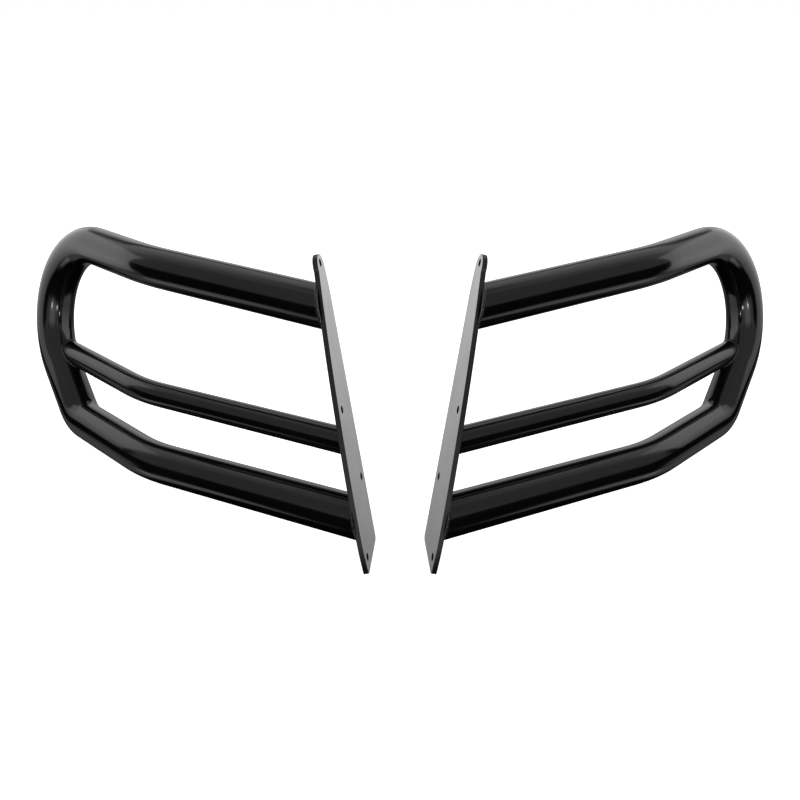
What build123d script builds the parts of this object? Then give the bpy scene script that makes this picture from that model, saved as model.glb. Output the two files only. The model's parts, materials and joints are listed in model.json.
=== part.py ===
from build123d import *
import os
from math import cos, radians, sin, tan

# Grille guard wings: a mirrored pair of bent-tube headlight guards. Each wing is a
# weldment of one looped main tube, one middle tube and the flat plate that bolts it
# to the side of the grille guard's centre section.
# Frame: X across the vehicle, Y rearward, Z up. Millimetres and degrees. Left is -X.

# Tubes: two-inch main tube and inch-and-a-quarter middle tube
main_tube_diameter = 50.8
main_tube_wall = 2.1
middle_tube_diameter = 31.75
middle_tube_wall = 1.65

# Plan view: each tube leaves its plate swept back by the inner sweep, and turns at
# its knee to the outer sweep
inner_sweep = 28.1
outer_sweep = 44.9
upper_knee_reach = 314.5
middle_knee_reach = 333.1
lower_knee_reach = 320.5
knee_bend_radius = 220.0

# Elevation: height of each outer run over the lower one, and how much each inner
# run climbs from the plate to its knee
upper_height = 236.0
middle_height = 75.6
upper_climb = 3.1
middle_climb = 0.1
lower_climb = -0.8

# Outer loop: it leans back, and a diagonal joins the lower run to the upper bend
loop_lean = 13.5
lower_run_length = 180.0
diagonal_angle = 40.8
upper_bend_radius = 105.8
lower_bend_radius = 50.8

# The middle tube lies behind the loop's plane, almost flush with its back
middle_behind_loop = 8.0

# Mounting plate: its outer face crosses the lower tube's axis at plate_reach
plate_thickness = 6.0
plate_reach = 48.7
plate_yaw = 5.8
plate_lean = 12.6
bottom_corner_radius = 5.0
top_round_width = 32.0
top_above_upper_tube = 56.0
top_behind_upper_tube = 17.0
bottom_below_lower_tube = 55.0
bottom_drop_forward = 4.0
toe_before_lower_tube = 36.5
upper_front_lip = -2.0
middle_front_lip = 29.3
lower_front_lip = -1.5
upper_rear_lip = -2.0
lower_rear_lip = 22.0

# Bolt holes, each at a height over the tube axis beside it: the second and third are
# set in from the nearest edge, and the bottom one stands before the lower tube's axis
bolt_hole_diameter = 9.0
hole_edge_distance = 16.5
top_hole_height = 46.0
second_hole_height = 45.6
third_hole_height = 29.0
bottom_hole_height = -39.5
bottom_hole_forward = 22.8

# Length of the blocks and lines that only cut or probe the pieces
tool_length = 1200.0

# Welds
weld_bead_radius = 3.2
saddle_weld_leg = 3.0

# Worked out from the driving dimensions
main_radius = main_tube_diameter / 2
middle_radius = middle_tube_diameter / 2
middle_forward = -middle_behind_loop
spare = main_tube_diameter * 2
UP = Vector(0, 0, 1)


def heading(sweep, climb=0.0):
    """Unit direction outboard on the left wing, swept back and climbing."""
    flat = cos(radians(climb))
    return Vector(-cos(radians(sweep)) * flat, sin(radians(sweep)) * flat, sin(radians(climb)))


def knee(reach, height, forward=0.0):
    """Point where a tube turns, on the loop's leaning plane or forward of it."""
    across = Vector(sin(radians(outer_sweep)), cos(radians(outer_sweep)), 0)
    datum = -lower_knee_reach * across.X
    depth = datum + height * tan(radians(loop_lean)) - forward / cos(radians(loop_lean))
    return Vector(-reach, (depth + reach * across.X) / across.Y, height)


outboard = heading(outer_sweep)
upper_knee = knee(upper_knee_reach, upper_height)
middle_knee = knee(middle_knee_reach, middle_height, middle_forward)
lower_knee = knee(lower_knee_reach, 0.0)
upper_heading = heading(inner_sweep, upper_climb)
middle_heading = heading(inner_sweep, middle_climb)
lower_heading = heading(inner_sweep, lower_climb)

# The loop's plane, with its rising direction square to the outboard runs
rising = upper_knee - lower_knee
rising = rising - outboard * rising.dot(outboard)
loop_height = rising.length
rising = rising.normalized()
lower_corner = lower_knee + outboard * lower_run_length
diagonal_run = loop_height / tan(radians(diagonal_angle))
upper_corner = lower_corner + outboard * diagonal_run + rising * loop_height

# The plate's plane: u runs rearward along its outer face, v runs up it
plate_u = Vector(sin(radians(plate_yaw)), cos(radians(plate_yaw)), 0)
plate_side = Vector(-cos(radians(plate_yaw)), sin(radians(plate_yaw)), 0)
plate_normal = plate_side * cos(radians(plate_lean)) - UP * sin(radians(plate_lean))
lower_landing = lower_knee - lower_heading * ((lower_knee.X + plate_reach) / lower_heading.X)
outer_face = Plane(origin=lower_landing, x_dir=plate_u, z_dir=plate_normal)
plate_v = outer_face.y_dir if outer_face.y_dir.Z > 0 else -outer_face.y_dir


def landing(point, direction):
    """Where a tube's axis meets the plate's outer face."""
    travel = (lower_landing - point).dot(plate_normal) / direction.dot(plate_normal)
    return point + direction * travel


def on_plate(point):
    """A point's (u, v) place on the plate's outer face."""
    offset = point - lower_landing
    return offset.dot(plate_u), offset.dot(plate_v)


def half_width(radius, direction):
    """How far a tube's slanted end reaches along the plate's u direction."""
    return radius / (plate_u - direction * plate_u.dot(direction)).length


upper_landing = landing(upper_knee, upper_heading)
middle_landing = landing(middle_knee, middle_heading)
upper_u, upper_v = on_plate(upper_landing)
middle_u, middle_v = on_plate(middle_landing)
lower_u, lower_v = on_plate(lower_landing)
upper_half = half_width(main_radius, upper_heading)
middle_half = half_width(middle_radius, middle_heading)
lower_half = half_width(main_radius, lower_heading)


def line_at(first, second, v):
    """The u of a straight line through two (u, v) points at height v."""
    share = (v - first[1]) / (second[1] - first[1])
    return first[0] + (second[0] - first[0]) * share


# Edge points of the plate, beside the three tube ends
front_upper = (upper_u - upper_half - upper_front_lip, upper_v)
front_middle = (middle_u - middle_half - middle_front_lip, middle_v)
front_lower = (lower_u - lower_half - lower_front_lip, lower_v)
rear_upper = (upper_u + upper_half + upper_rear_lip, upper_v)
rear_lower = (lower_u + lower_half + lower_rear_lip, lower_v)


def front_edge(v):
    """The u of the bowed front edge: a parabola through its three points."""
    total = 0.0
    points = (front_upper, front_middle, front_lower)
    for point in points:
        weight = 1.0
        for other in points:
            if other is not point:
                weight *= (v - other[1]) / (point[1] - other[1])
        total += point[0] * weight
    return total


def rear_edge(v):
    """The u of the straight rear edge, which runs up to the upper tube."""
    return line_at(rear_upper, rear_lower, v)


top_radius = top_round_width / 2
top_v = upper_v + top_above_upper_tube
top_centre = (upper_u + top_behind_upper_tube, top_v - top_radius)
shoulder_v = top_centre[1]
waist_v = (shoulder_v + lower_v) / 2
toe = (lower_u - toe_before_lower_tube, lower_v - bottom_below_lower_tube)
heel_v = toe[1] + bottom_drop_forward

bolt_holes = (
    (top_centre[0], upper_v + top_hole_height),
    (front_edge(middle_v + second_hole_height) + hole_edge_distance, middle_v + second_hole_height),
    (rear_edge(lower_v + third_hole_height) - hole_edge_distance, lower_v + third_hole_height),
    (lower_u - bottom_hole_forward, lower_v + bottom_hole_height),
)


def face_point(u, v, inward=0.0):
    """The place of (u, v) on the plate's outer face, or inward of it."""
    return lower_landing + plate_u * u + plate_v * v - plate_normal * inward


def mounting_plate():
    """Flat plate: bowed front edge, straight rear edge, round top, four bolt holes."""
    top_front = face_point(top_centre[0] - top_radius, shoulder_v)
    top_rear = face_point(top_centre[0] + top_radius, shoulder_v)
    apex = face_point(top_centre[0], top_v)
    front_waist = face_point(front_edge(waist_v), waist_v)
    bow = ThreePointArc(top_front, front_waist, face_point(*front_lower))
    toe_point = face_point(*toe)
    heel_point = face_point(rear_edge(heel_v), heel_v)
    rear = Line(heel_point, face_point(*rear_upper))
    outline = Wire([
        bow,
        TangentArc(bow @ 1, toe_point, tangent=bow % 1),
        Line(toe_point, heel_point),
        rear,
        TangentArc(rear @ 1, top_rear, tangent=rear % 1),
        ThreePointArc(top_rear, apex, top_front),
    ])
    plate = extrude(Face(outline), plate_thickness, dir=-plate_normal)
    corners = plate.edges().filter_by(lambda e: e.geom_type == GeomType.LINE)
    corners = corners.filter_by(lambda e: abs(abs((e % 0.5).dot(plate_normal)) - 1) < 1e-6)
    corners = corners.sort_by(Axis.Z)[:2]
    plate = fillet(corners, bottom_corner_radius)
    for u, v in bolt_holes:
        mouth = Plane(face_point(u, v, -plate_thickness), x_dir=plate_u, z_dir=-plate_normal)
        plate -= extrude(mouth * Circle(bolt_hole_diameter / 2), plate_thickness * 3)
    return plate


def swept(path, radius):
    """Solid bar of a radius along a path."""
    section = Plane(origin=path @ 0, z_dir=path % 0) * Circle(radius)
    return sweep(section, path=path)


def inboard_of_plate():
    """Everything on the vehicle side of the plate's outer face, as a block."""
    face = Plane(lower_landing, x_dir=plate_u, z_dir=-plate_normal)
    block = face * Rectangle(tool_length, tool_length)
    return extrude(block, spare * 2)


upper_start = upper_landing - upper_heading * spare
middle_start = middle_landing - middle_heading * spare
lower_start = lower_landing - lower_heading * spare
main_path = FilletPolyline(
    upper_start, upper_knee, upper_corner, lower_corner, lower_knee, lower_start,
    radius=[knee_bend_radius, upper_bend_radius, lower_bend_radius, knee_bend_radius],
)


def upright_meeting():
    """End of the middle tube's axis, level with the loop tube's own axis."""
    probe = Line(middle_knee, middle_knee + outboard * tool_length)
    lifted = probe.moved(Location(across_loop * middle_forward))
    near = main_path.distance_to_with_closest_points(lifted)[2]
    return middle_knee + outboard * (near - middle_knee).dot(outboard)


across_loop = outboard.cross(rising)
if across_loop.Y < 0:
    across_loop = -across_loop
middle_end = upright_meeting()
middle_path = FilletPolyline(middle_start, middle_knee, middle_end, radius=knee_bend_radius)


def landing_weld(point, direction, radius, bar, plate):
    """Bead round a tube's slanted end, wrapping the plate's edge where it is flush."""
    slant = (direction - plate_normal * direction.dot(plate_normal)).normalized()
    ring_plane = Plane(origin=point, x_dir=slant, z_dir=plate_normal)
    long_radius = radius / direction.dot(plate_normal)
    toe = (ring_plane * Ellipse(long_radius, radius)).edge()
    section = Plane(origin=toe @ 0, z_dir=toe % 0) * Circle(weld_bead_radius)
    return sweep(section, path=toe) - bar - plate


def build_wing():
    """All pieces of the left wing, by name."""
    inboard = inboard_of_plate()
    main_bar = swept(main_path, main_radius) - inboard
    main_bore = swept(main_path, main_radius - main_tube_wall)
    middle_bar = swept(middle_path, middle_radius) - inboard
    middle_bore = swept(middle_path, middle_radius - middle_tube_wall)
    plate = mounting_plate()
    collar = swept(middle_path, middle_radius + saddle_weld_leg)
    collar &= swept(main_path, main_radius + saddle_weld_leg)
    return {
        "mounting_plate": plate,
        "main_loop_tube": main_bar - main_bore,
        "middle_tube": middle_bar - middle_bore - main_bar,
        "upper_weld": landing_weld(upper_landing, upper_heading, main_radius, main_bar, plate),
        "middle_weld": landing_weld(middle_landing, middle_heading, middle_radius, middle_bar, plate),
        "lower_weld": landing_weld(lower_landing, lower_heading, main_radius, main_bar, plate),
        "saddle_weld": collar - middle_bar - main_bar,
    }


def main():
    """Build the left wing, mirror it for the right, and write every piece."""
    left = build_wing()
    boxes = [piece.bounding_box() for piece in left.values()]
    base = min(box.min.Z for box in boxes)
    front = min(box.min.Y for box in boxes)
    rear = max(box.max.Y for box in boxes)
    to_origin = Location((0, -(front + rear) / 2, -base))
    os.makedirs("parts", exist_ok=True)
    for name, piece in left.items():
        placed = to_origin * piece
        export_step(placed, f"parts/left_{name}.step")
        export_step(mirror(placed, about=Plane.YZ), f"parts/right_{name}.step")
        print(name, len(placed.solids()), round(placed.volume), placed.bounding_box())
    for u, v in bolt_holes:
        print("bolt hole on the outer face", to_origin * Pos(face_point(u, v)))
    print("plate normal, outboard", plate_normal)


if __name__ == "__main__":
    main()
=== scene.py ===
"""Grille guard wings: a mirrored pair of bent-tube headlight guards.

Each wing is a looped main tube and a lighter middle tube, welded to the flat plate
that bolts it to the side of the guard's centre section.  All of it is steel in gloss
black powder coat.  The left wing is modelled and the right one is its mirror copy.

Sizes are in millimetres until a mesh is made, and meshes are in metres, in the frame
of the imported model: X across the vehicle, Y rearward, Z up.
"""

import json
import logging
import math
from contextlib import contextmanager
from dataclasses import dataclass, field
from enum import Enum
from typing import Any, Callable, Iterator, NamedTuple

import bmesh
import bpy
from mathutils import Matrix, Vector


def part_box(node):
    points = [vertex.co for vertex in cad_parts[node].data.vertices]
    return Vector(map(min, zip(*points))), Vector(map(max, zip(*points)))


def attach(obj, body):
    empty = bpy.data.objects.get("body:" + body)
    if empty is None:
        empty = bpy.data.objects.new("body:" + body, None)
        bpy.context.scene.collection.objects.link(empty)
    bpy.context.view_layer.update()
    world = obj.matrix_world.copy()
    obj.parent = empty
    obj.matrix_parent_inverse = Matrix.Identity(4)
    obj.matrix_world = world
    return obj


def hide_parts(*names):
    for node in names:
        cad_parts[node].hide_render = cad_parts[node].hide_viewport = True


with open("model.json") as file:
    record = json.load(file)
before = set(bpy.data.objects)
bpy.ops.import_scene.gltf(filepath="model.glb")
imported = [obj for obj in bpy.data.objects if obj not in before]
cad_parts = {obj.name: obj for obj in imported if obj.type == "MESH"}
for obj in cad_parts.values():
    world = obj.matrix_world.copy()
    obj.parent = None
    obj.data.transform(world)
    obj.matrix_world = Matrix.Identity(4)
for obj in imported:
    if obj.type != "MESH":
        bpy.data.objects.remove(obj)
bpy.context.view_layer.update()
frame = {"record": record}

MM = 0.001
BODY = "root"
UP = Vector((0.0, 0.0, 1.0))
LOG = logging.getLogger("grille_guard_wings")


class Side(Enum):
    """Which wing a piece belongs to, seen from the front of the vehicle."""

    LEFT = "left"
    RIGHT = "right"


class Slot(Enum):
    """The record's material slots."""

    TUBE = "tube_coat"
    PLATE = "plate_coat"
    WELD = "weld_coat"


# ---------------------------------------------------------------- shared modelling


def deselect_all() -> None:
    """Leave nothing selected, so that an operator acts on its own piece alone."""
    bpy.ops.object.select_all(action="DESELECT")


def pick(piece: bpy.types.Object) -> None:
    """Make a piece the only selected one, and the active one."""
    deselect_all()
    piece.select_set(True)
    bpy.context.view_layer.objects.active = piece


@contextmanager
def editing(piece: bpy.types.Object, mode: str = "VERT") -> Iterator[None]:
    """Edit a piece's mesh with nothing of it selected at first.

    Args:
        piece: The mesh object to edit.
        mode: What is picked in it: VERT, EDGE or FACE.
    """
    pick(piece)
    bpy.ops.object.mode_set(mode="EDIT")
    bpy.ops.mesh.select_mode(type=mode)
    bpy.ops.mesh.select_all(action="DESELECT")
    yield
    bpy.ops.object.mode_set(mode="OBJECT")


def select_verts(piece: bpy.types.Object, wanted: Callable[[Vector], bool]) -> None:
    """Select the vertices whose place passes a test, and nothing else.

    Args:
        piece: The mesh object, which is in edit mode.
        wanted: A function of a vertex's place that says whether to select it.
    """
    bpy.ops.mesh.select_all(action="DESELECT")
    shape = bmesh.from_edit_mesh(piece.data)
    for vert in shape.verts:
        vert.select = bool(wanted(vert.co))
    shape.select_flush_mode()
    bmesh.update_edit_mesh(piece.data)


def settle(piece: bpy.types.Object) -> None:
    """Put a piece's place, turn and scale into its mesh."""
    pick(piece)
    bpy.ops.object.transform_apply(location=True, rotation=True, scale=True)


def apply_modifier(piece: bpy.types.Object, kind: str, **settings: Any) -> None:
    """Add a modifier to a piece, set it and apply it at once.

    Args:
        piece: The mesh object.
        kind: The modifier's type, such as BEVEL.
        **settings: The modifier's own settings.
    """
    pick(piece)
    modifier = piece.modifiers.new(kind.title(), kind)
    for name, value in settings.items():
        setattr(modifier, name, value)
    bpy.ops.object.modifier_apply(modifier=modifier.name)


def close_and_face_out(piece: bpy.types.Object, gap: float = 1e-6) -> None:
    """Merge doubled vertices and turn every face outward.

    Args:
        piece: The mesh object.
        gap: Vertices nearer than this many metres become one.
    """
    with editing(piece):
        bpy.ops.mesh.select_all(action="SELECT")
        bpy.ops.mesh.remove_doubles(threshold=gap)
        bpy.ops.mesh.normals_make_consistent(inside=False)


def smooth_shade(piece: bpy.types.Object, crease: float = 35.0) -> None:
    """Shade a piece smooth, with edges sharper than crease degrees kept crisp.

    Args:
        piece: The mesh object.
        crease: The sharpest edge that is still shaded smooth, in degrees.
    """
    pick(piece)
    bpy.ops.object.shade_smooth_by_angle(angle=math.radians(crease))


def flatten_shading(piece: bpy.types.Object) -> None:
    """Let a piece's large flat faces shade flat right up to their rounded edges."""
    apply_modifier(piece, "WEIGHTED_NORMAL", keep_sharp=True, weight=100)


def cut_away(piece: bpy.types.Object, cutter: bpy.types.Object) -> None:
    """Cut one solid out of a piece, and keep the cutter."""
    apply_modifier(piece, "BOOLEAN", operation="DIFFERENCE", object=cutter, solver="EXACT")


def discard(piece: bpy.types.Object) -> None:
    """Remove a helper object and its mesh."""
    mesh = piece.data
    bpy.data.objects.remove(piece)
    bpy.data.meshes.remove(mesh)


def copy_piece(piece: bpy.types.Object, name: str) -> bpy.types.Object:
    """A copy of a piece with its own mesh.

    Args:
        piece: The mesh object to copy.
        name: The copy's name.

    Returns:
        The copy.
    """
    twin = piece.copy()
    twin.data = piece.data.copy()
    twin.name = twin.data.name = name
    bpy.context.scene.collection.objects.link(twin)
    return twin


def mirrored_copy(piece: bpy.types.Object, name: str) -> bpy.types.Object:
    """A copy of a left-hand piece mirrored to the right, with its faces outward.

    Args:
        piece: The finished left-hand piece.
        name: The copy's name.

    Returns:
        The right-hand piece.
    """
    twin = copy_piece(piece, name)
    with editing(twin):
        bpy.ops.mesh.select_all(action="SELECT")
        bpy.ops.transform.mirror(constraint_axis=(True, False, False), center_override=(0, 0, 0))
        bpy.ops.mesh.flip_normals()
    if twin.data.has_custom_normals:
        # split normals don't follow a mirror, so they are worked out again
        pick(twin)
        bpy.ops.mesh.customdata_custom_splitnormals_clear()
        flatten_shading(twin)
    return twin


def box_middle(low: Vector, high: Vector) -> Vector:
    """The middle of a box given by its corners."""
    return (Vector(low) + Vector(high)) / 2


def mesh_middle(piece: bpy.types.Object) -> Vector:
    """The middle of a mesh's bounding box.

    Args:
        piece: The mesh object.

    Returns:
        The middle of its mesh's box.
    """
    corners = [vert.co for vert in piece.data.vertices]
    low = Vector(min(corner[axis] for corner in corners) for axis in range(3))
    high = Vector(max(corner[axis] for corner in corners) for axis in range(3))
    return box_middle(low, high)


# ---------------------------------------------------------------- the wing's layout


@dataclass(frozen=True)
class WingSizes:
    """Driving sizes of the left wing, in millimetres and degrees."""

    main_diameter: float = 50.8
    main_wall: float = 2.1
    middle_diameter: float = 31.75
    middle_wall: float = 1.65
    inner_sweep: float = 28.1
    outer_sweep: float = 44.9
    upper_knee_reach: float = 314.5
    middle_knee_reach: float = 333.1
    lower_knee_reach: float = 320.5
    knee_bend: float = 220.0
    upper_height: float = 236.0
    middle_height: float = 75.6
    upper_climb: float = 3.1
    middle_climb: float = 0.1
    lower_climb: float = -0.8
    loop_lean: float = 13.5
    lower_run: float = 180.0
    diagonal_angle: float = 40.8
    upper_bend: float = 105.8
    lower_bend: float = 50.8
    middle_behind_loop: float = 8.0
    plate_thickness: float = 6.0
    plate_reach: float = 48.7
    plate_yaw: float = 5.8
    plate_lean: float = 12.6


class Run(NamedTuple):
    """A straight run of tube: a point on its axis, and its heading outboard."""

    point: Vector
    heading: Vector


class WingLayout:
    """Where the left wing's tubes and plate lie, worked out from its sizes.

    Points are in metres.  They are first measured from the lower tube's outer run on
    the vehicle's centre plane, and `origin` then carries them to the model's frame.
    """

    def __init__(self, sizes: WingSizes) -> None:
        """Work out the corners of both tubes and the plane of the plate."""
        self.sizes = sizes
        self.origin = Vector((0.0, 0.0, 0.0))
        self.main_radius = sizes.main_diameter / 2 * MM
        self.middle_radius = sizes.middle_diameter / 2 * MM
        self.outboard = self._heading(sizes.outer_sweep, 0.0)
        forward = -sizes.middle_behind_loop * MM
        upper_knee = self._knee(sizes.upper_knee_reach, sizes.upper_height, 0.0)
        middle_knee = self._knee(sizes.middle_knee_reach, sizes.middle_height, forward)
        lower_knee = self._knee(sizes.lower_knee_reach, 0.0, 0.0)
        self.upper = Run(upper_knee, self._heading(sizes.inner_sweep, sizes.upper_climb))
        self.middle = Run(middle_knee, self._heading(sizes.inner_sweep, sizes.middle_climb))
        self.lower = Run(lower_knee, self._heading(sizes.inner_sweep, sizes.lower_climb))
        rise = upper_knee - lower_knee
        rise -= self.outboard * rise.dot(self.outboard)
        self.rising = rise.normalized()
        self.lower_corner = lower_knee + self.outboard * sizes.lower_run * MM
        diagonal = rise.length / math.tan(math.radians(sizes.diagonal_angle))
        self.upper_corner = self.lower_corner + self.outboard * diagonal + rise
        yaw, lean = math.radians(sizes.plate_yaw), math.radians(sizes.plate_lean)
        self.plate_u = Vector((math.sin(yaw), math.cos(yaw), 0.0))
        side = Vector((-math.cos(yaw), math.sin(yaw), 0.0))
        self.plate_normal = side * math.cos(lean) - UP * math.sin(lean)
        self.plate_v = self.plate_normal.cross(self.plate_u)
        if self.plate_v.z < 0:
            self.plate_v.negate()
        travel = (lower_knee.x + sizes.plate_reach * MM) / self.lower.heading.x
        self.lower_landing = lower_knee - self.lower.heading * travel
        self.upper_landing = self._landing(self.upper)
        self.middle_landing = self._landing(self.middle)

    def _heading(self, sweep: float, climb: float) -> Vector:
        """Unit direction outboard, swept back and climbing by those degrees.

        Args:
            sweep: How far it is swept back, in degrees.
            climb: How far it climbs, in degrees.

        Returns:
            The unit vector.
        """
        back, rise = math.radians(sweep), math.radians(climb)
        flat = math.cos(rise)
        return Vector((-math.cos(back) * flat, math.sin(back) * flat, math.sin(rise)))

    def _knee(self, reach: float, height: float, forward: float) -> Vector:
        """Where a tube turns at its knee.

        Args:
            reach: Distance out from the vehicle's centre plane, in millimetres.
            height: Height over the lower tube, in millimetres.
            forward: Distance in front of the loop's leaning plane, in metres.

        Returns:
            The point in metres.
        """
        across, along = -self.outboard.x, self.outboard.y
        lean = math.radians(self.sizes.loop_lean)
        depth = -self.sizes.lower_knee_reach * MM * along
        depth += height * MM * math.tan(lean) - forward / math.cos(lean)
        return Vector((-reach * MM, (depth + reach * MM * along) / across, height * MM))

    def _landing(self, run: Run) -> Vector:
        """Where a run's axis meets the plate's outer face.

        Args:
            run: The tube's straight run.

        Returns:
            The point in metres.
        """
        gap = (self.lower_landing - run.point).dot(self.plate_normal)
        return run.point + run.heading * (gap / run.heading.dot(self.plate_normal))

    def face_point(self, across: float, height: float) -> Vector:
        """A point on the plate's outer face, from metres across it and up it."""
        return self.lower_landing + self.plate_u * across + self.plate_v * height

    def on_plate(self, point: Vector) -> Vector:
        """How far across and up the plate's outer face a point lies.

        Args:
            point: The point in metres.

        Returns:
            How far across, and how far up.
        """
        offset = point - self.lower_landing
        return Vector((offset.dot(self.plate_u), offset.dot(self.plate_v)))


# ---------------------------------------------------------------- tubes


@dataclass
class BentTube:
    """A round tube bent cold on a mandrel: straight runs joined by circular bends.

    Attributes:
        name: What the tube is called.
        radius: Its outer radius, in metres.
        wall: Its wall, in metres.
        corners: The points where its axis would turn if the bends were sharp, in metres.
        bends: The radius of each bend's centre line, in metres.
        around: How many faces go round it.
        bend_step: How far one ring of a bend turns, in degrees.
        run_step: About how long one ring of a straight run is, in metres.
    """

    name: str
    radius: float
    wall: float
    corners: list[Vector]
    bends: list[float]
    around: int = 72
    bend_step: float = 2.5
    run_step: float = 0.02

    def sweep(self) -> bpy.types.Object:
        """Draw the tube's outer skin along its runs and bends.

        Returns:
            An open-ended skin, with its place in its mesh.
        """
        here = self.corners[0].copy()
        heading = (self.corners[1] - here).normalized()
        turn = heading.to_track_quat("Z", "Y").to_euler()
        deselect_all()
        bpy.ops.mesh.primitive_circle_add(
            vertices=self.around, radius=self.radius, location=here, rotation=turn
        )
        skin = bpy.context.object
        skin.name = skin.data.name = self.name
        settle(skin)
        with editing(skin):
            bpy.ops.mesh.select_all(action="SELECT")
            for corner, following, bend in zip(self.corners[1:], self.corners[2:], self.bends):
                onward = (following - corner).normalized()
                angle = heading.angle(onward)
                setback = bend * math.tan(angle / 2)
                here = self._run_on(here, corner - heading * setback)
                axis = heading.cross(onward).normalized()
                centre = here + axis.cross(heading) * bend
                steps = max(4, round(math.degrees(angle) / self.bend_step))
                # spin turns clockwise about its axis, so the axis is given reversed
                bpy.ops.mesh.spin(steps=steps, angle=angle, center=centre, axis=-axis)
                here = corner + onward * setback
                heading = onward
            self._run_on(here, self.corners[-1])
        return skin

    def _run_on(self, here: Vector, to: Vector) -> Vector:
        """Extrude the selected ring straight on, in even steps.

        Args:
            here: Where the ring's centre is.
            to: Where the run ends.

        Returns:
            The end of the run.
        """
        steps = max(1, round((to - here).length / self.run_step))
        for _ in range(steps):
            step = tuple((to - here) / steps)
            bpy.ops.mesh.extrude_region_move(TRANSFORM_OT_translate={"value": step})
        return to

    def trim(self, skin: bpy.types.Object, point: Vector, outward: Vector) -> None:
        """Saw the skin off along a plane, and drop what is beyond it.

        Args:
            skin: The tube's skin.
            point: A point on the plane.
            outward: The plane's normal, away from what is kept.
        """
        with editing(skin):
            bpy.ops.mesh.select_all(action="SELECT")
            bpy.ops.mesh.bisect(plane_co=point, plane_no=outward, clear_outer=True)

    def bar(self, skin: bpy.types.Object, name: str) -> bpy.types.Object:
        """A solid bar of the same outside, to cut other pieces with.

        Args:
            skin: The tube's skin.
            name: The bar's name.

        Returns:
            The bar.
        """
        solid = copy_piece(skin, name)
        with editing(solid):
            bpy.ops.mesh.select_all(action="SELECT")
            bpy.ops.mesh.fill_holes(sides=0)
        close_and_face_out(solid)
        return solid

    def hollow(self, skin: bpy.types.Object) -> None:
        """Give the skin its wall, inward."""
        close_and_face_out(skin)
        apply_modifier(skin, "SOLIDIFY", thickness=self.wall, offset=-1.0)


# ---------------------------------------------------------------- mounting plate


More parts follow.
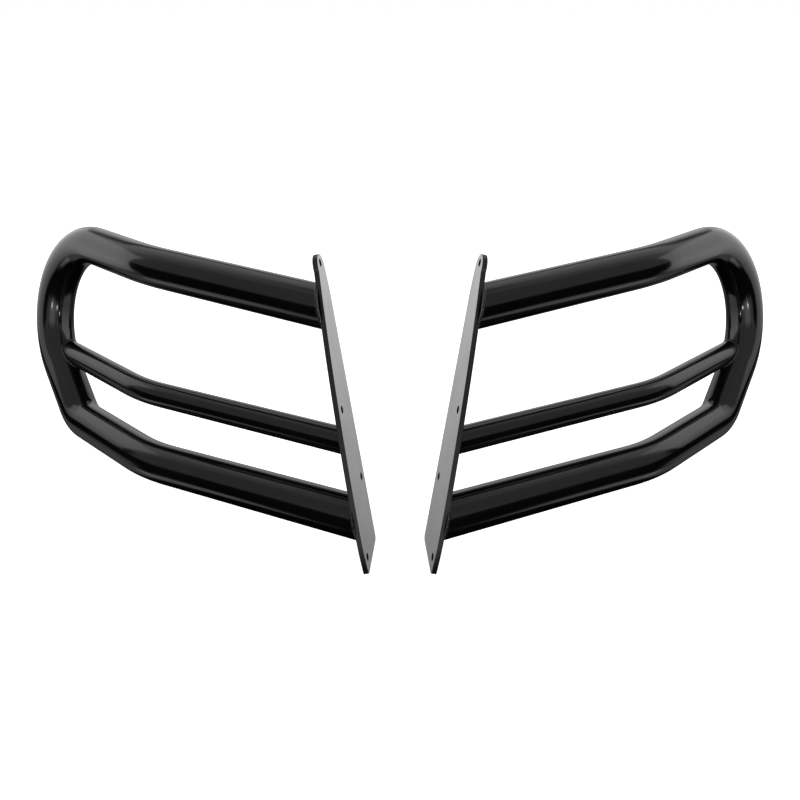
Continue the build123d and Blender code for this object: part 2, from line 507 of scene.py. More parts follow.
@dataclass
class MountingPlate:
    """The flat plate: a bowed front edge, a round top and four bolt holes.

    Attributes:
        layout: The wing's layout, which holds the plate's plane.
        top_width: Width of the round top, in millimetres.
        top_over_upper: How far it stands over the upper tube's axis.
        top_behind_upper: How far its middle lies behind that axis.
        toe_drop: How far its toe lies under the lower tube's axis.
        toe_forward: How far the toe lies before that axis.
        heel_rise: How much higher the heel is than the toe.
        front_lips: How far the front edge stands out past the upper, middle and lower
            tubes.
        rear_lips: How far the rear edge stands out past the upper and lower tubes.
        corner_round: Radius of the toe and heel corners.
        edge_round: Radius that the coat leaves on every cut edge.
        holes: The record's bolt holes in this plate.
    """

    layout: WingLayout
    top_width: float = 32.0
    top_over_upper: float = 56.0
    top_behind_upper: float = 17.0
    toe_drop: float = 55.0
    toe_forward: float = 36.5
    heel_rise: float = 4.0
    front_lips: tuple[float, float, float] = (-2.0, 29.3, -1.5)
    rear_lips: tuple[float, float] = (-2.0, 22.0)
    corner_round: float = 5.0
    edge_round: float = 0.7
    holes: list[dict] = field(default_factory=list)

    def _half_width(self, run: Run, radius: float) -> float:
        """How far a tube's cut end reaches across the plate from its axis.

        Args:
            run: The tube's straight run.
            radius: Its outer radius, in metres.

        Returns:
            The half width of its cut end, in metres.
        """
        across = self.layout.plate_u
        return radius / (across - run.heading * across.dot(run.heading)).length

    def outline(self) -> tuple[list[Vector], list[Vector]]:
        """The plate's edge on its outer face, across and up it, in metres.

        Returns:
            The points of the bowed front edge from the top down to the toe, and those of
            the rest: the heel, and the round top from the rear to the front.
        """
        lay = self.layout
        main, middle = lay.main_radius, lay.middle_radius
        upper, mid = lay.on_plate(lay.upper_landing), lay.on_plate(lay.middle_landing)

        halves = (
            self._half_width(lay.upper, main), self._half_width(lay.middle, middle),
            self._half_width(lay.lower, main),
        )
        ends = (upper, mid, Vector((0.0, 0.0)))
        front = [
            Vector((end.x - width - lip * MM, end.y))
            for end, width, lip in zip(ends, halves, self.front_lips)
        ]
        rear_top = Vector((upper.x + halves[0] + self.rear_lips[0] * MM, upper.y))
        rear_low = Vector((halves[2] + self.rear_lips[1] * MM, 0.0))
        radius = self.top_width / 2 * MM
        centre_v = upper.y + self.top_over_upper * MM - radius
        centre = Vector((upper.x + self.top_behind_upper * MM, centre_v))
        top_front = centre - Vector((radius, 0.0))
        waist_v = centre_v / 2
        waist = Vector((parabola(front, waist_v), waist_v))
        bow = arc_through(top_front, waist, front[2], 48)
        toe = Vector((-self.toe_forward * MM, -self.toe_drop * MM))
        toe_arc = arc_on_from(bow[-2], bow[-1], toe, 16)
        heel_v = toe.y + self.heel_rise * MM
        share = (heel_v - rear_top.y) / (rear_low.y - rear_top.y)
        heel = rear_top + (rear_low - rear_top) * share
        shoulder = arc_on_from(heel, rear_top, centre + Vector((radius, 0.0)), 12)
        crown = shoulder[:-1] + [
            centre + Vector((math.cos(step / 24 * math.pi), math.sin(step / 24 * math.pi))) * radius
            for step in range(24)
        ]
        return bow + toe_arc[1:], [heel] + crown

    def build(self) -> bpy.types.Object:
        """Cut the plate to its outline, drill it and soften its edges.

        Returns:
            The left wing's plate.
        """
        lay, sizes = self.layout, self.layout.sizes
        front, rest = self.outline()
        points = front + rest
        deselect_all()
        bpy.ops.mesh.primitive_circle_add(vertices=len(points), radius=0.1, fill_type="NGON")
        plate = bpy.context.object
        plate.name = plate.data.name = "mounting_plate"
        for vert, point in zip(plate.data.vertices, points):
            vert.co = lay.face_point(point.x, point.y)
        toe, heel = lay.face_point(*front[-1]), lay.face_point(*rest[0])
        with editing(plate):
            select_verts(plate, lambda place: min((place - toe).length, (place - heel).length) < 1e-5)
            bpy.ops.mesh.bevel(offset=self.corner_round * MM, segments=8, affect="VERTICES")
            bpy.ops.mesh.select_all(action="SELECT")
            through = tuple(-lay.plate_normal * sizes.plate_thickness * MM)
            bpy.ops.mesh.extrude_region_move(TRANSFORM_OT_translate={"value": through})
        close_and_face_out(plate)
        for hole in self.holes:
            self._drill(plate, hole)
        apply_modifier(
            plate, "BEVEL", width=self.edge_round * MM, segments=3, limit_method="ANGLE",
            angle_limit=math.radians(40), harden_normals=True,
        )
        smooth_shade(plate, 40.0)
        flatten_shading(plate)
        return plate

    def _drill(self, plate: bpy.types.Object, hole: dict) -> None:
        """Drill one bolt hole through the plate where the record puts it.

        Args:
            plate: The plate.
            hole: The hole's mount in the record.
        """
        axis = Vector(hole["axis"])
        deselect_all()
        bpy.ops.mesh.primitive_cylinder_add(
            vertices=48, radius=hole["dims"]["r_mm"] * MM, depth=4 * self.layout.sizes.plate_thickness * MM,
            location=Vector(hole["pos_m"]), rotation=axis.to_track_quat("Z", "Y").to_euler(),
        )
        drill = bpy.context.object
        settle(drill)
        cut_away(plate, drill)
        discard(drill)


def parabola(points: list[Vector], height: float) -> float:
    """How far across a parabola through three points lies at a height.

    Args:
        points: Three points, across and up.
        height: The height to read it at.

    Returns:
        How far across it lies there.
    """
    total = 0.0
    for point in points:
        weight = 1.0
        for other in points:
            if other is not point:
                weight *= (height - other.y) / (point.y - other.y)
        total += point.x * weight
    return total


def arc_between(centre: Vector, start: Vector, end: Vector, steps: int) -> list[Vector]:
    """Points of the shorter arc about a centre, from start to end.

    Args:
        centre: The arc's centre.
        start: Its first point.
        end: Its last point.
        steps: How many chords it is drawn with.

    Returns:
        The points, both ends among them.
    """
    first, last = start - centre, end - centre
    sweep = math.atan2(first.x * last.y - first.y * last.x, first.dot(last))
    points = []
    for step in range(steps + 1):
        turn = sweep * step / steps
        cos, sin = math.cos(turn), math.sin(turn)
        points.append(centre + Vector((first.x * cos - first.y * sin, first.x * sin + first.y * cos)))
    return points


def arc_through(start: Vector, middle: Vector, end: Vector, steps: int) -> list[Vector]:
    """Points of the arc through three points.

    Args:
        start: Its first point.
        middle: A point between.
        end: Its last point.
        steps: How many chords it is drawn with.

    Returns:
        The points, both ends among them.
    """
    a, b = middle - start, end - start
    cross = 2 * (a.x * b.y - a.y * b.x)
    offset = Vector((b.y * a.dot(a) - a.y * b.dot(b), a.x * b.dot(b) - b.x * a.dot(a))) / cross
    return arc_between(start + offset, start, end, steps)


def arc_on_from(before: Vector, start: Vector, end: Vector, steps: int) -> list[Vector]:
    """Points of the arc that runs on smoothly from before through start, to end.

    Args:
        before: A point just before its first one.
        start: Its first point.
        end: Its last point.
        steps: How many chords it is drawn with.

    Returns:
        The points, both ends among them.
    """
    along = (start - before).normalized()
    across = Vector((-along.y, along.x))
    chord = end - start
    bend = chord.dot(chord) / (2 * chord.dot(across))
    return arc_between(start + across * bend, start, end, steps)


# ---------------------------------------------------------------- welds


class SeamPoint(NamedTuple):
    """One place on a joint: where it is, and which ways lie along it and out of it."""

    place: Vector
    along: Vector
    outward: Vector


@dataclass
class WeldBead:
    """A fillet weld laid as a row of overlapping puddles, then coated.

    Attributes:
        name: What the weld is called.
        seam: The joint it follows, as a closed row of places.
        leg: How far the bead reaches along each of the two faces, in metres.
        pitch: How far apart the puddles are, in metres.
        grain: Size of the cells that the puddles are fused in, in metres.
    """

    name: str
    seam: list[SeamPoint]
    leg: float
    pitch: float = 0.0022
    grain: float = 0.00045

    def _puddle(self) -> bpy.types.Object:
        """One puddle at the origin: X along the weld, Z out of the corner.

        Returns:
            The puddle, ready to copy.
        """
        deselect_all()
        bpy.ops.mesh.primitive_uv_sphere_add(segments=16, ring_count=10, radius=self.leg)
        puddle = bpy.context.object
        with editing(puddle):
            bpy.ops.mesh.select_all(action="SELECT")
            bpy.ops.transform.resize(value=(0.62, 1.0, 0.86), center_override=(0, 0, 0))
        return puddle

    def build(self) -> bpy.types.Object:
        """Lay the puddles along the seam and fuse them into one bead.

        Returns:
            The bead, with its place in its mesh.
        """
        lengths = [
            (self.seam[index].place - self.seam[index - 1].place).length
            for index in range(len(self.seam))
        ]
        count = max(8, round(sum(lengths) / self.pitch))
        puddle = self._puddle()
        laid = []
        for number in range(count):
            spot = self._along(lengths, sum(lengths) * number / count)
            twin = copy_piece(puddle, "puddle")
            out = (spot.outward - spot.along * spot.outward.dot(spot.along)).normalized()
            turn = Matrix((spot.along, out.cross(spot.along), out)).transposed().to_4x4()
            # each puddle leans back on the one before it
            lean = Matrix.Rotation(math.radians(-28), 4, "Y")
            twin.data.transform(Matrix.Translation(spot.place) @ turn @ lean)
            laid.append(twin)
        discard(puddle)
        deselect_all()
        for twin in laid:
            twin.select_set(True)
        bpy.context.view_layer.objects.active = laid[0]
        bpy.ops.object.join()
        bead = bpy.context.object
        bead.name = bead.data.name = self.name
        apply_modifier(bead, "REMESH", mode="VOXEL", voxel_size=self.grain)
        apply_modifier(bead, "SMOOTH", factor=0.5, iterations=3)
        return bead

    def _along(self, lengths: list[float], distance: float) -> SeamPoint:
        """The place at a distance along the seam, between its points.

        Args:
            lengths: How far each place is from the one before it.
            distance: How far along the seam.

        Returns:
            The place there.
        """
        for index, length in enumerate(lengths):
            if distance <= length or index == len(lengths) - 1:
                share = min(1.0, distance / length)
                before, after = self.seam[index - 1], self.seam[index]
                return SeamPoint(*(a.lerp(b, share) for a, b in zip(before, after)))
            distance -= length
        return self.seam[-1]


def seam_on_plane(run: Run, radius: float, point: Vector, normal: Vector) -> list[SeamPoint]:
    """The joint where a round tube meets a flat face.

    Args:
        run: The tube's straight run.
        radius: The tube's outer radius.
        point: A point on the face.
        normal: The face's outward normal.

    Returns:
        Places round the joint.
    """
    side = run.heading.orthogonal().normalized()
    over = run.heading.cross(side)
    steps = 120
    places, normals = [], []
    for step in range(steps):
        turn = step / steps * math.tau
        radial = side * math.cos(turn) + over * math.sin(turn)
        start = run.point + radial * radius
        gap = (point - start).dot(normal) / run.heading.dot(normal)
        places.append(start + run.heading * gap)
        normals.append(radial + normal)
    return seam_from(places, normals)


def seam_on_solid(run: Run, radius: float, solid: bpy.types.Object) -> list[SeamPoint]:
    """The joint where a round tube's far end meets another solid.

    Args:
        run: The tube's last run, from a point well short of the joint.
        radius: The tube's outer radius.
        solid: What the tube runs into.

    Returns:
        Places round the joint.
    """
    side = run.heading.orthogonal().normalized()
    over = run.heading.cross(side)
    steps = 120
    places, normals = [], []
    for step in range(steps):
        turn = step / steps * math.tau
        radial = side * math.cos(turn) + over * math.sin(turn)
        hit, place, normal, _ = solid.ray_cast(run.point + radial * radius, run.heading)
        if hit:
            places.append(place)
            normals.append(radial + normal)
    return seam_from(places, normals)


def seam_from(places: list[Vector], normals: list[Vector]) -> list[SeamPoint]:
    """A closed seam from its places and the sum of both faces' normals at each.

    Args:
        places: Places round the joint, in order.
        normals: The sum of both faces' normals at each.

    Returns:
        The seam.
    """
    seam = []
    for index, (place, normal) in enumerate(zip(places, normals)):
        following = places[(index + 1) % len(places)]
        along = (following - places[index - 1]).normalized()
        seam.append(SeamPoint(place, along, normal.normalized()))
    return seam


# ---------------------------------------------------------------- finishes


def linear(code: str) -> tuple[float, float, float, float]:
    """An sRGB hex colour as linear red, green, blue and an alpha of one.

    Args:
        code: The colour, as # and six hex digits.

    Returns:
        Red, green, blue and alpha.
    """
    values = [int(code[start:start + 2], 16) / 255 for start in (1, 3, 5)]
    parts = [v / 12.92 if v <= 0.04045 else ((v + 0.055) / 1.055) ** 2.4 for v in values]
    return (*parts, 1.0)


def add_node(
    tree: bpy.types.NodeTree, kind: str, inputs: dict[str, Any] | None = None,
    links: dict[str, bpy.types.NodeSocket] | None = None, **settings: Any,
) -> bpy.types.Node:
    """Add one node to a tree.

    Args:
        tree: The node tree.
        kind: The node's type name.
        inputs: Values for its input sockets, by name.
        links: Output sockets to join to its input sockets, by name.
        **settings: The node's own settings.

    Returns:
        The new node.
    """
    node = tree.nodes.new(kind)
    for name, value in settings.items():
        setattr(node, name, value)
    for name, value in (inputs or {}).items():
        node.inputs[name].default_value = value
    for name, socket in (links or {}).items():
        tree.links.new(socket, node.inputs[name])
    return node


@dataclass(frozen=True)
class PowderCoat:
    """Polyester powder coat baked on steel: a thick plastic skin that flows out glossy,
    with a faint orange-peel ripple and a slow drift in its gloss.

    Attributes:
        name: The finish's name.
        deep: Its colour where it is thickest.
        thin: Its colour where it is thinnest.
        roughness: Its least and greatest roughness.
        peel_size: Spacing of the orange peel, in millimetres.
        peel_height: Height of the orange peel, in millimetres.
        grit_size: Spacing of the finer grit under it, in millimetres.
        grit_height: Height of that grit, in millimetres.
        drift_size: Size of the slow changes in gloss, in millimetres.
    """

    name: str
    deep: str = "#0A0A0B"
    thin: str = "#121213"
    roughness: tuple[float, float] = (0.11, 0.17)
    peel_size: float = 5.0
    peel_height: float = 0.004
    grit_size: float = 0.9
    grit_height: float = 0.0004
    drift_size: float = 70.0

    def _grain(self, tree: bpy.types.NodeTree, size: float, detail: float) -> bpy.types.NodeSocket:
        """Noise on Object coordinates whose spacing is a size in millimetres.

        Args:
            tree: The node tree.
            size: The spacing, in millimetres.
            detail: How many finer layers it has.

        Returns:
            The noise's socket.
        """
        place = add_node(tree, "ShaderNodeTexCoord").outputs["Object"]
        levels = {"Scale": 1 / (size * MM), "Detail": detail}
        return add_node(tree, "ShaderNodeTexNoise", levels, {"Vector": place}).outputs["Fac"]

    def material(self) -> bpy.types.Material:
        """The finish as a node material.

        Returns:
            The material, on Object coordinates in metres.
        """
        finish = bpy.data.materials.new(self.name)
        finish.use_nodes = True
        tree = finish.node_tree
        tree.nodes.clear()
        drift = self._grain(tree, self.drift_size, 2.0)
        colour = add_node(
            tree, "ShaderNodeMix", {"A": linear(self.deep), "B": linear(self.thin)},
            data_type="RGBA",
        )
        tree.links.new(drift, colour.inputs["Factor"])
        gloss = add_node(
            tree, "ShaderNodeMapRange",
            {"From Min": 0.3, "From Max": 0.7, "To Min": self.roughness[0], "To Max": self.roughness[1]},
            {"Value": drift},
        )
        peel = add_node(
            tree, "ShaderNodeBump", {"Strength": 1.0, "Distance": self.peel_height * MM},
            {"Height": self._grain(tree, self.peel_size, 1.0)},
        )
        grit = add_node(
            tree, "ShaderNodeBump", {"Strength": 1.0, "Distance": self.grit_height * MM},
            {"Height": self._grain(tree, self.grit_size, 1.0), "Normal": peel.outputs["Normal"]},
        )
        coat = add_node(
            tree, "ShaderNodeBsdfPrincipled", {"Metallic": 0.0, "IOR": 1.5},
            {"Roughness": gloss.outputs["Result"], "Normal": grit.outputs["Normal"]},
        )
        tree.links.new(colour.outputs["Result"], coat.inputs["Base Color"])
        add_node(tree, "ShaderNodeOutputMaterial", links={"Surface": coat.outputs["BSDF"]})
        return finish


TUBE_COAT = PowderCoat("gloss_black_powder_coat_tube")
PLATE_COAT = PowderCoat(
    "gloss_black_powder_coat_plate", roughness=(0.16, 0.24), peel_size=3.5, drift_size=45.0
)
WELD_COAT = PowderCoat(
    "gloss_black_powder_coat_weld", roughness=(0.13, 0.2), peel_size=2.0, peel_height=0.003
)


# ---------------------------------------------------------------- the wings


@dataclass
class Wing:
    """One wing's pieces, modelled for the left and mirrored for the right.

    Attributes:
        layout: Where the pieces lie.
        finishes: The material of each slot.
        bead_leg: Leg of the fillet welds, in millimetres.
        pieces: The finished left pieces, by name.
        slots: The slot of each piece, by name.
    """

    layout: WingLayout
    finishes: dict[Slot, bpy.types.Material]
    bead_leg: float = 2.3
    pieces: dict[str, bpy.types.Object] = field(default_factory=dict)
    slots: dict[str, Slot] = field(default_factory=dict)

    def _keep(self, name: str, piece: bpy.types.Object, slot: Slot) -> None:
        """Take a finished left piece into the wing, in its coat.

        Args:
            name: The piece's name without its side.
            piece: The finished left piece.
            slot: The slot of its coat.
        """
        piece.name = piece.data.name = f"{Side.LEFT.value}_{name}_coated"
        piece.data.materials.clear()
        piece.data.materials.append(self.finishes[slot])
        self.pieces[name], self.slots[name] = piece, slot

    def build(self) -> None:
        """Model every piece of the left wing."""
        lay = self.layout
        sizes = lay.sizes
        spare = 2 * lay.main_radius * 2
        loop = BentTube(
            "main_loop_tube", lay.main_radius, sizes.main_wall * MM,
            [
                lay.upper_landing - lay.upper.heading * spare, lay.upper.point, lay.upper_corner,
                lay.lower_corner, lay.lower.point, lay.lower_landing - lay.lower.heading * spare,
            ],
            [sizes.knee_bend * MM, sizes.upper_bend * MM, sizes.lower_bend * MM, sizes.knee_bend * MM],
        )
        middle = BentTube(
            "middle_tube", lay.middle_radius, sizes.middle_wall * MM,
            [
                lay.middle_landing - lay.middle.heading * spare, lay.middle.point,
                lay.middle.point + lay.outboard * 0.3,
            ],
            [sizes.knee_bend * MM], around=56,
        )
        loop_skin, middle_skin = loop.sweep(), middle.sweep()
        for tube, skin in ((loop, loop_skin), (middle, middle_skin)):
            tube.trim(skin, lay.lower_landing, -lay.plate_normal)
            close_and_face_out(skin)
        self._seat(loop_skin, middle_skin)
        loop_bar = loop.bar(loop_skin, "loop_bar")
        loop.hollow(loop_skin)
        middle_run = Run(lay.middle.point + lay.origin + lay.outboard * 0.05, lay.outboard)
        saddle = seam_on_solid(middle_run, lay.middle_radius, loop_bar)
        reach = max((spot.place - middle_run.point).dot(lay.outboard) for spot in saddle)
        middle.trim(middle_skin, middle_run.point + lay.outboard * (reach + 0.004), lay.outboard)
        middle.hollow(middle_skin)
        cut_away(middle_skin, loop_bar)
        self._drop_loose_end(middle_skin, middle_run, reach)
        for skin in (loop_skin, middle_skin):
            smooth_shade(skin)
        self._keep("main_loop_tube", loop_skin, Slot.TUBE)
        self._keep("middle_tube", middle_skin, Slot.TUBE)
        self._weld(saddle)
        discard(loop_bar)
        holes = [
            mount for mount in frame["record"]["mounts"]
            if mount["kind"] == "bore" and mount["name"].startswith(Side.LEFT.value)
        ]
        plate = MountingPlate(lay, holes=holes)
        self._keep("mounting_plate", plate.build(), Slot.PLATE)

    def _seat(self, loop_skin: bpy.types.Object, middle_skin: bpy.types.Object) -> None:
        """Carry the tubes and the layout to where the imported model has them.

        Args:
            loop_skin: The main loop's skin.
            middle_skin: The middle tube's skin.
        """
        lay = self.layout
        target = box_middle(*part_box("left_main_loop_tube"))
        lay.origin = target - mesh_middle(loop_skin)
        for skin in (loop_skin, middle_skin):
            skin.data.transform(Matrix.Translation(lay.origin))
        lay.lower_landing += lay.origin
        lay.upper_landing += lay.origin
        lay.middle_landing += lay.origin

    def _drop_loose_end(self, tube: bpy.types.Object, run: Run, reach: float) -> None:
        """Remove what the cope left of the middle tube on the loop's far side.

        Args:
            tube: The coped middle tube.
            run: Its outer run.
            reach: How far along that run the joint reaches, in metres.
        """
        limit = reach + 0.002
        with editing(tube):
            select_verts(tube, lambda place: (place - run.point).dot(run.heading) > limit)
            bpy.ops.mesh.delete(type="VERT")

    def _weld(self, saddle: list[SeamPoint]) -> None:
        """Lay the four welds of the wing.

        Args:
            saddle: The joint of the middle tube's outer end.
        """
        lay = self.layout
        joints = {
            "upper_weld": (lay.upper, lay.upper_landing, lay.main_radius),
            "middle_weld": (lay.middle, lay.middle_landing, lay.middle_radius),
            "lower_weld": (lay.lower, lay.lower_landing, lay.main_radius),
        }
        for name, (run, landing, radius) in joints.items():
            straight = Run(landing, run.heading)
            seam = seam_on_plane(straight, radius, landing, lay.plate_normal)
            bead = WeldBead(name, seam, self.bead_leg * MM)
            self._keep(name, bead.build(), Slot.WELD)
        bead = WeldBead("saddle_weld", saddle, self.bead_leg * MM)
        self._keep("saddle_weld", bead.build(), Slot.WELD)

    def place(self) -> None:
        """Mirror the wing, hide the imported parts that its pieces replace, and hang every piece on the
        body.
        """
        for name, piece in self.pieces.items():
            twin = mirrored_copy(piece, f"{Side.RIGHT.value}_{name}_coated")
            for side, shown in ((Side.LEFT, piece), (Side.RIGHT, twin)):
                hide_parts(f"{side.value}_{name}")
                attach(shown, BODY)
                LOG.info("%s: %d faces", shown.name, len(shown.data.polygons))


# ---------------------------------------------------------------- studio


@dataclass(frozen=True)
class Panel:
    """A soft panel of studio light, given by where it stands as seen from the object.

    The studio is the same on both sides, so a panel's bearing is 0 straight behind the
    object, 90 at either side and 180 at the camera's side.

    Attributes:
        name: What the panel is.
        bearing: Where it starts and ends round the object, in degrees.
        height: Where it starts and ends over the horizon, in degrees.
        brightness: Its radiance.
        edge: How softly it ends, in degrees.
    """

    name: str
    bearing: tuple[float, float]
    height: tuple[float, float]
    brightness: float
    edge: float = 4.0


PANELS = (
    Panel("camera side, low", (164, 195), (-16, 20), 1.5, 12.0),
    Panel("camera side, low flank", (144, 164), (-12, 18), 0.6, 8.0),
    Panel("camera side, high", (150, 195), (20, 62), 0.45, 8.0),
    Panel("front wall", (119, 150), (12, 62), 0.45, 6.0),
    Panel("side wall", (88, 119), (10, 62), 0.38, 8.0),
    Panel("side wall, rear part", (66, 88), (24, 62), 0.56, 8.0),
    Panel("rear window", (40, 66), (22, 60), 0.8, 8.0),
    Panel("rear window, far part", (-10, 40), (32, 62), 0.9, 8.0),
    Panel("bright strip by the floor", (46, 80), (12, 24), 0.45, 6.0),
    Panel("backdrop", (-10, 46), (2, 24), 0.9, 8.0),
    Panel("foot of the backdrop", (-10, 44), (-16, 2), 0.45, 8.0),
    Panel("floor behind", (-10, 60), (-40, -16), 0.12, 8.0),
    Panel("floor at the side", (60, 92), (-46, -14), 0.27, 8.0),
    Panel("floor at the side, front part", (84, 110), (-45, -32), 0.8, 5.0),
    Panel("ceiling", (-10, 195), (62, 95), 0.42, 8.0),
)


@dataclass(frozen=True)
class ReflectionCard:
    """An upright card along the vehicle that only reflections see.

    Attributes:
        name: What the card is called.
        reach: How far out it stands on each side, in metres; at 0 there is one card.
        deep: Where it starts and ends front to rear, in metres.
        high: Where its lower and upper edges are, in metres.
        glow: Its radiance at the two heights in rise, and evenly between them.
        rise: The heights between which its radiance changes, in metres.
    """

    name: str
    reach: float
    deep: tuple[float, float]
    high: tuple[float, float]
    glow: tuple[float, float]
    rise: tuple[float, float]


CARDS = (
    ReflectionCard("plate_card", 0.0, (-0.16, 0.34), (-0.3, 0.36), (0.75, 1.75), (-0.05, 0.26)),
    ReflectionCard("black_divider", 0.0, (0.1, 1.8), (0.45, 2.2), (0.0, 0.0), (0.0, 1.0)),
    ReflectionCard("side_card", 0.76, (0.04, 0.8), (0.1, 0.6), (0.6, 1.35), (0.1, 0.25)),
)


@dataclass(frozen=True)
class GlintLamp:
    """A small lamp that stands on the camera side of an outer bend.

    Attributes:
        bearing: Where it stands round the bend, in degrees, as a panel's bearing.
        height: How high it stands as seen from the bend, in degrees.
        away: How far it stands from the bend, in metres.
        width: Its width, in metres.
        tall: Its height, in metres.
        brightness: Its radiance.
    """

    bearing: float
    height: float
    away: float
    width: float
    tall: float
    brightness: float


# the middle of the right wing's outer bend, in metres
OUTER_BEND = Vector((0.47, 0.1, 0.2))
GLINT_LAMPS = (
    GlintLamp(171.0, -8.0, 1.2, 0.05, 0.09, 60.0),
    GlintLamp(205.0, -13.0, 1.2, 0.05, 0.07, 40.0),
)


@dataclass
class Studio:
    """Pale floor, soft light all round and the camera.

    Attributes:
        camera_place: Where the camera stands, in metres.
        camera_pitch: How far it looks down, in degrees.
        lens: Its focal length, in millimetres.
        floor_size: Side of the floor, in metres.
    """

    camera_place: tuple[float, float, float] = (0.0, -1.05536, 0.59366)
    camera_pitch: float = 24.23
    lens: float = 40.52
    floor_size: float = 60.0

    def build(self) -> None:
        """Set up the floor, the light and the camera."""
        self._floor()
        self._light()
        for card in CARDS:
            for side in (-1, 1) if card.reach else (1,):
                self._card(card, side)
        self._glint_lamps()
        self._camera()

    def _card(self, card_sizes: ReflectionCard, side: int) -> None:
        """Stand up one card along the vehicle.

        Args:
            card_sizes: The card.
            side: Which side it stands on: -1 for the left, 1 for the right.
        """
        deselect_all()
        bpy.ops.mesh.primitive_plane_add(size=1.0)
        card = bpy.context.object
        card.name = card_sizes.name
        (front, rear), (foot, top) = card_sizes.deep, card_sizes.high
        for vert in card.data.vertices:
            depth = front if vert.co.x < 0 else rear
            vert.co = (side * card_sizes.reach, depth, foot if vert.co.y < 0 else top)
        paper = bpy.data.materials.new(card_sizes.name)
        paper.use_nodes = True
        tree = paper.node_tree
        tree.nodes.clear()
        place = add_node(tree, "ShaderNodeTexCoord").outputs["Object"]
        split = add_node(tree, "ShaderNodeSeparateXYZ", links={"Vector": place})
        level = add_node(
            tree, "ShaderNodeMapRange",
            {
                "From Min": card_sizes.rise[0], "From Max": card_sizes.rise[1],
                "To Min": card_sizes.glow[0], "To Max": card_sizes.glow[1],
            },
            {"Value": split.outputs["Z"]},
        )
        light = add_node(tree, "ShaderNodeEmission", links={"Strength": level.outputs["Result"]})
        add_node(tree, "ShaderNodeOutputMaterial", links={"Surface": light.outputs["Emission"]})
        card.data.materials.append(paper)
        card.visible_camera = False
        card.visible_diffuse = False
        card.visible_shadow = False

    def _glint_lamps(self) -> None:
        """Small lamps low on the camera side, which glint in the outer bends."""
        for side in (-1, 1):
            bend = Vector((side * OUTER_BEND.x, OUTER_BEND.y, OUTER_BEND.z))
            for lamp in GLINT_LAMPS:
                turn, rise = math.radians(lamp.bearing), math.radians(lamp.height)
                way = Vector((
                    side * math.sin(turn) * math.cos(rise), math.cos(turn) * math.cos(rise), math.sin(rise)
                ))
                deselect_all()
                bpy.ops.object.light_add(
                    type="AREA", location=bend + way * lamp.away,
                    rotation=(-way).to_track_quat("-Z", "Y").to_euler(),
                )
                light = bpy.context.object
                light.name = light.data.name = "glint_lamp"
                light.data.shape = "RECTANGLE"
                light.data.size, light.data.size_y = lamp.width, lamp.tall
                light.data.energy = math.pi * lamp.width * lamp.tall * lamp.brightness
                light.data.use_shadow = False
                light.visible_camera = False
                light.visible_diffuse = False

    def _floor(self) -> None:
        """A plain white floor, lit so evenly that it keeps no shadow."""
        deselect_all()
        bpy.ops.mesh.primitive_plane_add(size=self.floor_size, location=(0, 0, -0.002))
        floor = bpy.context.object
        floor.name = "floor"
        settle(floor)
        white = bpy.data.materials.new("white_sweep_paper")
        white.use_nodes = True
        shader = white.node_tree.nodes["Principled BSDF"]
        shader.inputs["Base Color"].default_value = linear("#F2F2F0")
        shader.inputs["Roughness"].default_value = 0.9
        shader.inputs["Emission Color"].default_value = linear("#FFFFFF")
        shader.inputs["Emission Strength"].default_value = 1.0
        floor.data.materials.append(white)
        # the floor lies well under the object in a real studio, so it sends no light up
        floor.visible_glossy = False
        floor.visible_diffuse = False
        floor.visible_shadow = False

    def _sum(
        self, tree: bpy.types.NodeTree, operation: str, *values: float | bpy.types.NodeSocket,
    ) -> bpy.types.NodeSocket:
        """Do one sum in a node tree.

        Args:
            tree: The node tree.
            operation: The Math node's operation.
            *values: What goes into it, as numbers or output sockets.

        Returns:
            The result's socket.
        """
        node = add_node(tree, "ShaderNodeMath", operation=operation)
        for number, value in enumerate(values):
            if isinstance(value, (int, float)):
                node.inputs[number].default_value = value
            else:
                tree.links.new(value, node.inputs[number])
        return node.outputs["Value"]

    def _gate(
        self, tree: bpy.types.NodeTree, value: bpy.types.NodeSocket, span: tuple[float, float],
        edge: float,
    ) -> bpy.types.NodeSocket:
        """One where a value lies within a span and nothing outside it.

        Args:
            tree: The node tree.
            value: The socket to test.
            span: Where the span starts and ends.
            edge: How wide its soft edges are.

        Returns:
            The result's socket.
        """
        ramps = []
        for middle, half in ((span[0], edge / 2), (span[1], -edge / 2)):
            ramp = add_node(
                tree, "ShaderNodeMapRange", {"From Min": middle - half, "From Max": middle + half},
                {"Value": value}, interpolation_type="SMOOTHSTEP",
            )
            ramps.append(ramp.outputs["Result"])
        return self._sum(tree, "MULTIPLY", *ramps)

    def _light(self) -> None:
        """The panels as one surrounding light, the same on the left and the right."""
        world = bpy.data.worlds.new("studio")
        bpy.context.scene.world = world
        world.use_nodes = True
        tree = world.node_tree
        tree.nodes.clear()
        place = add_node(tree, "ShaderNodeTexCoord").outputs["Generated"]
        split = add_node(tree, "ShaderNodeSeparateXYZ", links={"Vector": place})

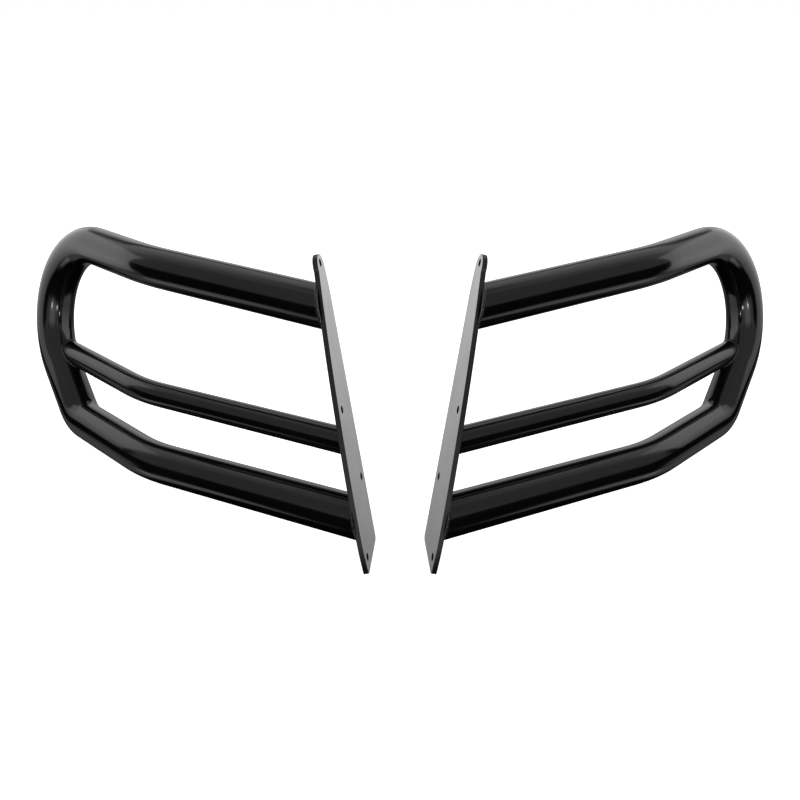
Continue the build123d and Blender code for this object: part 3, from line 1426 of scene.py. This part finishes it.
        across = self._sum(tree, "ABSOLUTE", split.outputs["X"])
        turn = self._sum(tree, "ARCTAN2", across, split.outputs["Y"])
        rise = self._sum(tree, "ARCSINE", split.outputs["Z"])
        bearing = self._sum(tree, "MULTIPLY", turn, math.degrees(1))
        height = self._sum(tree, "MULTIPLY", rise, math.degrees(1))
        total = 0.0
        for panel in PANELS:
            round_it = self._gate(tree, bearing, panel.bearing, panel.edge)
            over_it = self._gate(tree, height, panel.height, panel.edge)
            lit = self._sum(tree, "MULTIPLY", round_it, over_it)
            total = self._sum(tree, "ADD", self._sum(tree, "MULTIPLY", lit, panel.brightness), total)
        glow = add_node(tree, "ShaderNodeBackground", links={"Strength": total})
        white = add_node(tree, "ShaderNodeBackground", {"Strength": 1.0})
        white.inputs["Color"].default_value = (1, 1, 1, 1)
        glow.inputs["Color"].default_value = (1, 1, 1, 1)
        seen = add_node(tree, "ShaderNodeLightPath").outputs["Is Camera Ray"]
        mix = add_node(tree, "ShaderNodeMixShader")
        tree.links.new(seen, mix.inputs[0])
        tree.links.new(glow.outputs["Background"], mix.inputs[1])
        tree.links.new(white.outputs["Background"], mix.inputs[2])
        add_node(tree, "ShaderNodeOutputWorld", links={"Surface": mix.outputs["Shader"]})

    def _camera(self) -> None:
        """The camera, level and looking a little down along Y."""
        deselect_all()
        turn = (math.radians(90 - self.camera_pitch), 0.0, 0.0)
        bpy.ops.object.camera_add(location=self.camera_place, rotation=turn)
        camera = bpy.context.object
        camera.data.lens = self.lens
        camera.data.sensor_width = 36.0
        bpy.context.scene.camera = camera
        bpy.context.scene.view_settings.view_transform = "Standard"


def save_sizes() -> None:
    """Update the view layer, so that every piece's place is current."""
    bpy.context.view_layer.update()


def main() -> None:
    """Build both wings and the studio round them."""
    logging.basicConfig(level=logging.INFO, format="%(name)s %(message)s")
    finishes = {
        Slot.TUBE: TUBE_COAT.material(),
        Slot.PLATE: PLATE_COAT.material(),
        Slot.WELD: WELD_COAT.material(),
    }
    wing = Wing(WingLayout(WingSizes()), finishes)
    wing.build()
    wing.place()
    Studio().build()
    save_sizes()


if __name__ == "__main__":
    main()
